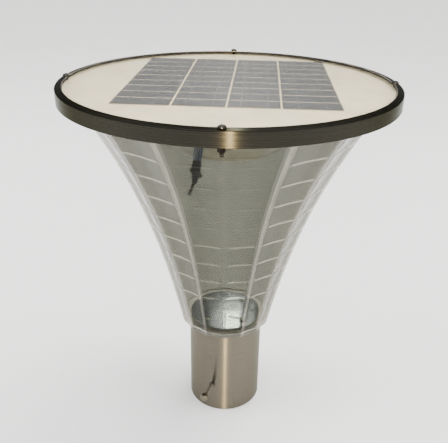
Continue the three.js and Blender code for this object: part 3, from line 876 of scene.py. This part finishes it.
def cell_string(number):
    """One string: cells in the first material, ribbons in the second, bed in the third."""
    low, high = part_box("cell_string_1")
    place = Matrix.Translation((*ARRAY_CENTRE, 0)) @ Matrix.Rotation(ARRAY_TURN, 4, "Z")
    left = STRING_EDGES[number - 1] + STRING_GAP / 2
    right = STRING_EDGES[number] - STRING_GAP / 2
    front = -STRING_LENGTH / 2
    back = STRING_LENGTH / 2
    shape = Shape()
    shape.box((left, front, low.z), (right, back, high.z - 0.08 * MM), 2, place)
    for row in range(CELL_ROWS):
        y = STRING_LENGTH * (row / CELL_ROWS - 0.5)
        start = y + (CELL_GAP / 2 if row else 0)
        end = y + STRING_LENGTH / CELL_ROWS - (CELL_GAP / 2 if row < CELL_ROWS - 1 else 0)
        shape.box((left, start, high.z - CELL_RISE), (right, end, high.z), 0, place)
    for side in (-RIBBON_SIDE, RIBBON_SIDE):
        x = (left + right) / 2 + side
        ribbon_high = (x + RIBBON_HALF, back, high.z + 0.1 * MM)
        shape.box((x - RIBBON_HALF, front, high.z), ribbon_high, 1, place)
    node = f"cell_string_{number}"
    shape.build(node + "_cells", [CELL, RIBBON, SHEET], node, "solar_cell", sharp=20)


# ---------------------------------------------------------------- housing

HOUSING_WALL = 2.5 * MM
COVER_OPENING = 44 * MM
COVER_SCREW_RADIUS = 1.4 * MM
COVER_SCREW_PITCH = 0.9 * MM
COVER_HEAD_RADIUS = 2.8 * MM
COVER_HEAD = 2 * MM
LENS_RADIUS = 43.6 * MM
LENS_STEP = 43.7 * MM
LENS_FLANGE = 47 * MM
LENS_RINGS = 12


def housing():
    inner = HOUSING_RADIUS - HOUSING_WALL
    wall = [
        (inner, HOUSING_LOW.z), (HOUSING_RADIUS, HOUSING_LOW.z),
        (HOUSING_RADIUS, HOUSING_HIGH.z), (inner, HOUSING_HIGH.z),
    ]
    shape = Shape().revolve(filleted(wall, 0.8 * MM), LARGE_SIDES, closed=True)
    under = HOUSING_HIGH.z - HOUSING_WALL
    over = HOUSING_HIGH.z - 0.2 * MM
    edge = HOUSING_RADIUS - 1 * MM
    shape.revolve([(0, under), (edge, under), (edge, over), (0, over)], LARGE_SIDES)
    shape.build("housing_shell", HOUSING, "housing_body", "housing_plastic")

    ring = [
        (COVER_OPENING, COVER_LOW.z), (HOUSING_RADIUS, COVER_LOW.z),
        (HOUSING_RADIUS, COVER_HIGH.z), (COVER_OPENING, COVER_HIGH.z),
    ]
    shape = Shape().revolve(filleted(ring, 1.0 * MM), LARGE_SIDES, closed=True)
    shape.build("housing_cover_ring", HOUSING, "housing_cover", "housing_plastic")

    low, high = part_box("led_lens")
    profile = [(0, low.z)]
    for i in range(1, LENS_RINGS):
        r = LENS_RADIUS * i / LENS_RINGS
        profile += [(r - 0.4 * MM, low.z + 0.5 * MM), (r, low.z)]
    step = low.z + 3.4 * MM
    profile += [(LENS_STEP, low.z + 0.6 * MM), (LENS_STEP, step), (LENS_FLANGE, step)]
    profile += [(LENS_FLANGE, high.z), (0, high.z)]
    Shape().revolve(profile, LARGE_SIDES).build("led_lens_disc", LENS, "led_lens", "frosted_lens")

    for number in range(1, 4):
        node = f"cover_screw_{number}"
        low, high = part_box(node)
        middle = centre_of(node)
        place = Matrix.Translation((middle.x, middle.y, 0)) @ Matrix.Rotation(math.pi, 4, "X")
        seat = -low.z - COVER_HEAD
        shape = thread(Shape(), COVER_SCREW_RADIUS, -high.z, seat, COVER_SCREW_PITCH, place)
        pan_head(shape, COVER_HEAD_RADIUS, seat, 1.9 * MM, place)
        cross_recess(shape, COVER_HEAD_RADIUS, -low.z - 0.08 * MM, place)
        shape.build(node + "_part", [PLATED, BLACK], node, "fastener")


# ---------------------------------------------------------------- leads and toggle switch

HANG = Vector(JOINTS["switch_swing"]["pos_m"])
PIVOT = Vector(JOINTS["switch_throw"]["pos_m"])
SWITCH_UP = (HANG - PIVOT).normalized()
PIVOT_DEPTH = 3 * MM
TERMINAL_OFFSET = 2.35 * MM
LEAD_RADIUS = 0.9 * MM
LEVER_LEAN = math.radians(13)
WASHER_HEIGHT = 11.2 * MM
WASHER_LEAN = math.radians(24)
WASHER_TEETH = 12
BUSHING_TOP = 14.1 * MM
BUSHING_BORE = 2.25 * MM
BUSHING_RADIUS = 2.95 * MM
BUSHING_ROOT = 2.62 * MM
BUSHING_GROOVES = 18
SHRINK_LOW = 25.2 * MM
SHRINK_POINTS = 14
SHRINK_RADIUS = 2.15  # in millimetres, before the waves and the taper


def switch_frame():
    """Matrix of the switch's own frame: origin at the end of its bushing, +Z up the bushing."""
    side = Vector((0, 1, 0)).cross(SWITCH_UP).normalized()
    turn = Matrix((side, Vector((0, 1, 0)), SWITCH_UP)).transposed().to_4x4()
    return Matrix.Translation(PIVOT - SWITCH_UP * PIVOT_DEPTH) @ turn


def smooth_path(points, steps=8):
    """Catmull-Rom curve through points."""
    points = [Vector(p) for p in points]
    padded = [points[0] * 2 - points[1], *points, points[-1] * 2 - points[-2]]
    made = []
    for i in range(1, len(padded) - 2):
        a, b, c, d = padded[i - 1 : i + 3]
        square = 2 * a - 5 * b + 4 * c - d
        cube = 3 * b - a - 3 * c + d
        for k in range(steps):
            t = k / steps
            made.append(0.5 * (2 * b + (c - a) * t + square * t**2 + cube * t**3))
    return made + [points[-1]]


def leads():
    place = switch_frame()
    along = outward("lead_grommet")
    across = Vector((-along.y, along.x, 0))
    height = centre_of("lead_grommet").z
    hang = (HANG - place.translation).length
    for number, side in ((1, -1), (2, 1)):
        def point(reach, apart, z):
            return along * reach * MM + across * apart * side * MM + Vector((0, 0, z))
        end = TERMINAL_OFFSET * side
        path = [
            point(56, 1.3, height), point(64, 1.3, height), point(72, 1.4, height),
            point(80, 1.7, height - 1.5 * MM), point(85, 2, height - 6 * MM),
            place @ Vector((end, -0.6 * MM, hang + 8 * MM)), place @ Vector((end, 0, hang)),
        ]
        wire = Shape().tube(smooth_path(path), LEAD_RADIUS)
        wire.build(f"lead_{number}_wire", WIRE, f"lead_{number}", "lead_insulation")
    outline = [
        (3, 61), (5.6, 61), (5.6, 62.1), (4.1, 62.1), (4.1, 65.4),
        (5.6, 65.4), (5.6, 66.4), (3.8, 68.4), (3, 68.4),
    ]
    outline = filleted([(r * MM, z * MM) for r, z in outline], 0.3 * MM, 2)
    grommet = Shape().revolve(outline, SMALL_SIDES, around((0, 0, height), along), closed=True)
    grommet.build("lead_grommet_part", SEAL, "lead_grommet", "seal")


def toggle_switch():
    place = switch_frame()
    switch_case(place)
    switch_thread(place)
    for number, side in ((1, -1), (2, 1)):
        heat_shrink(number, side, place)
    lever = place @ Matrix.Translation((0, 0, PIVOT_DEPTH)) @ Matrix.Rotation(LEVER_LEAN, 4, "Y")
    profile = [
        (0, -18.3), (1.2, -18.1), (1.9, -17.5), (2.2, -16.6), (2.15, -15.9), (1.8, -14.8), (1.65, -13),
        (1.55, -6), (1.15, -3.4), (1.15, -1), (1.6, 0), (1.15, 1.2), (0, 1.6),
    ]
    shape = Shape().revolve([(r * MM, z * MM) for r, z in profile], SMALL_SIDES, lever)
    shape.build("switch_lever_bat", PLATED, "switch_lever", "chrome_small", body="lever", sharp=60)


def switch_case(place):
    """The switch's body with its two terminals."""
    case = Shape().box((-4.6 * MM, -4 * MM, 14.4 * MM), (4.6 * MM, 4 * MM, 22.4 * MM), 0, place)
    case.box((-4.2 * MM, -3 * MM, 22.2 * MM), (4.2 * MM, 3 * MM, 24.8 * MM), 0, place)
    for x in (-TERMINAL_OFFSET, TERMINAL_OFFSET):
        case.box((x - 0.8 * MM, -0.4 * MM, 24.4 * MM), (x + 0.8 * MM, 0.4 * MM, 29.4 * MM), 1, place)
    materials = [BLACK, PLATED]
    case.build("switch_body_case", materials, "switch_body", "switch_body", body="switch", bevel=0.3 * MM)


def switch_thread(place):
    """The threaded bushing with its toothed washer and nut."""
    bushing = [(BUSHING_BORE, 0.2 * MM), (2.5 * MM, 0)]
    for i in range(BUSHING_GROOVES):
        z = (0.3 + i * 0.75) * MM
        bushing += [(BUSHING_ROOT, z), (BUSHING_RADIUS, z + 0.3 * MM), (BUSHING_RADIUS, z + 0.4 * MM)]
    bushing += [(BUSHING_RADIUS, BUSHING_TOP), (BUSHING_BORE, BUSHING_TOP)]
    shape = Shape().revolve(bushing, SMALL_SIDES, place, closed=True)
    shape.build("switch_bushing_thread", PLATED, "switch_bushing", "chrome_small", body="switch")

    lean = place @ Matrix.Translation((0, 0, WASHER_HEIGHT)) @ Matrix.Rotation(WASHER_LEAN, 4, "Y")
    ring = filleted([(3.8, -0.5), (7.4, -0.5), (7.4, 0.5), (3.8, 0.5)], 0.2, 2)
    washer = Shape().revolve([(r * MM, z * MM) for r, z in ring], 48, lean, closed=True)
    for i in range(WASHER_TEETH):
        tooth = lean @ Matrix.Rotation(TAU * i / WASHER_TEETH, 4, "Z") @ Matrix.Rotation(0.25, 4, "X")
        washer.box((7.1 * MM, -0.9 * MM, -0.35 * MM), (8.4 * MM, 0.9 * MM, 0.35 * MM), 0, tooth)
    washer.build("switch_washer_part", SCREW_STEEL, "switch_washer", "fastener", body="switch")

    nut = Shape().prism(hexagon(8 * MM, 0.3), 5.6 * MM, 7.8 * MM, place=place)
    nut.build("switch_nut_part", PLATED, "switch_nut", "chrome_small", body="switch", bevel=0.3 * MM)


def heat_shrink(number, side, place):
    """A slightly uneven heat-shrink sleeve over one terminal and the end of its lead."""
    hang = (HANG - place.translation).length
    x = TERMINAL_OFFSET * side
    heights = np.linspace(SHRINK_LOW, hang + 0.2 * MM, SHRINK_POINTS)
    path = [place @ Vector((x, 0, z)) for z in heights]
    radii = []
    for i in range(SHRINK_POINTS):
        wave = 0.1 * math.sin(i * 2.1 + side)
        taper = 0.3 * (i / (SHRINK_POINTS - 1)) ** 4
        radii.append((SHRINK_RADIUS - wave - taper) * MM)
    finish = SHRINK_PALE if number == 1 else SHRINK
    shape = Shape().tube(path, radii)
    shape.build(f"heat_shrink_{number}_sleeve", finish, f"heat_shrink_{number}", "heat_shrink", body="switch")


# ---------------------------------------------------------------- CAD pieces that stay


def carried_over():
    finishes = {
        "sleeve_cap": CAST, "floor_gasket": SILICONE, "flange_gasket": SEAL, "rim_gasket": SEAL,
        "junction_box": BLACK, "panel_lead": WIRE, "led_board": BOARD, "controller_board": BOARD,
        "battery_holder": BLACK,
    }
    finishes.update({f"battery_cell_{i}": WRAP for i in range(1, 5)})
    for node, material in finishes.items():
        mesh = frame["nodes"][node].data
        mesh.materials.clear()
        mesh.materials.append(material)


# ---------------------------------------------------------------- camera, floor and light

CAMERA_DISTANCE = 3.4297 * RIM_RADIUS
CAMERA_HEIGHT = 3.0645 * RIM_RADIUS
CAMERA_AZIMUTH = math.radians(1.73)
CAMERA_PITCH = math.radians(25.66)
CAMERA_ROLL = math.radians(0.97)
CAMERA_LENS = 46.57
CAMERA_SHIFT = (-0.0070, -0.0093)
FLOOR_RADIUS = 12
FLOOR_DROP = 0.0005
LIGHT_TARGET = Vector((0, 0, 0.25))


def camera():
    data = bpy.data.cameras.new("camera")
    data.lens = CAMERA_LENS
    data.sensor_width = 36
    data.shift_x = CAMERA_SHIFT[0]
    data.shift_y = CAMERA_SHIFT[1]
    data.clip_start = 0.01
    made = bpy.data.objects.new("camera", data)
    x = CAMERA_DISTANCE * math.sin(CAMERA_AZIMUTH)
    y = -CAMERA_DISTANCE * math.cos(CAMERA_AZIMUTH)
    turn = Matrix.Rotation(CAMERA_AZIMUTH, 4, "Z") @ Matrix.Rotation(math.pi / 2 - CAMERA_PITCH, 4, "X")
    roll = Matrix.Rotation(CAMERA_ROLL, 4, "Z")
    made.matrix_world = Matrix.Translation((x, y, CAMERA_HEIGHT)) @ turn @ roll
    bpy.context.scene.collection.objects.link(made)
    bpy.context.scene.camera = made


def floor():
    made = Shape().revolve([(0, -FLOOR_DROP), (FLOOR_RADIUS, -FLOOR_DROP)], 96)
    mesh = bpy.data.meshes.new("floor")
    mesh.from_pydata(made.verts, [], made.faces)
    mesh.materials.append(plain("floor_paint", (0.93, 0.93, 0.92), 0.7, 0, 0.01, 3, 200, 0.02))
    piece = bpy.data.objects.new("floor", mesh)
    bpy.context.scene.collection.objects.link(piece)


def softbox(name, azimuth, elevation, distance, size, power, colour=(1, 1, 1), gloss=False):
    """A flat light that faces the middle of the shade. It lights either the gloss or everything else."""
    a = math.radians(azimuth)
    e = math.radians(elevation)
    direction = Vector((math.sin(a) * math.cos(e), -math.cos(a) * math.cos(e), math.sin(e)))
    data = bpy.data.lights.new(name, "AREA")
    data.shape = "RECTANGLE"
    data.size, data.size_y = size
    data.energy = power
    data.color = colour
    made = bpy.data.objects.new(name, data)
    made.matrix_world = around(LIGHT_TARGET + direction * distance, direction)
    made.visible_diffuse = not gloss
    made.visible_transmission = not gloss
    made.visible_glossy = gloss
    bpy.context.scene.collection.objects.link(made)
    return made


def sun():
    data = bpy.data.lights.new("sun", "SUN")
    data.energy = 3.2
    data.angle = math.radians(40)
    data.color = (1, 0.97, 0.92)
    made = bpy.data.objects.new("sun", data)
    made.matrix_world = around((0, 0, 2), (0.3, 0.35, 0.85))
    made.visible_glossy = False
    bpy.context.scene.collection.objects.link(made)


def sky():
    """A plain white sky that grows brighter upwards."""
    world = bpy.data.worlds.new("studio")
    world.use_nodes = True
    nodes = world.node_tree.nodes
    links = world.node_tree.links
    split = nodes.new("ShaderNodeSeparateXYZ")
    links.new(nodes.new("ShaderNodeTexCoord").outputs["Generated"], split.inputs[0])
    grade = nodes.new("ShaderNodeMapRange")
    for key, value in (("From Min", 0.35), ("From Max", 0.85), ("To Min", 0.3), ("To Max", 1.5)):
        grade.inputs[key].default_value = value
    links.new(split.outputs["Z"], grade.inputs["Value"])
    background = nodes["Background"]
    background.inputs["Color"].default_value = (0.96, 0.98, 1, 1)
    links.new(grade.outputs["Result"], background.inputs["Strength"])
    bpy.context.scene.world = world


def lights():
    """The streak stands upright in the steel, and the glint lies on the clamp plate."""
    softbox("streak", 2.6, 7, 2.6, (0.06, 0.8), 100, (1, 0.77, 0.42), gloss=True)
    softbox("left", -85, 30, 2.2, (1.6, 1.6), 60)
    softbox("right", 85, 30, 2.2, (1.6, 1.6), 60)
    glint = softbox("glint", 180.7, 33.7, 2.2, (0.07, 0.1), 9, gloss=True)
    glint.visible_transmission = True
    sun()
    sky()


camera()
floor()
lights()
sleeve()
clamp_bolts()
shade()
shade_fixing()
rim()
panel()
housing()
leads()
toggle_switch()
carried_over()
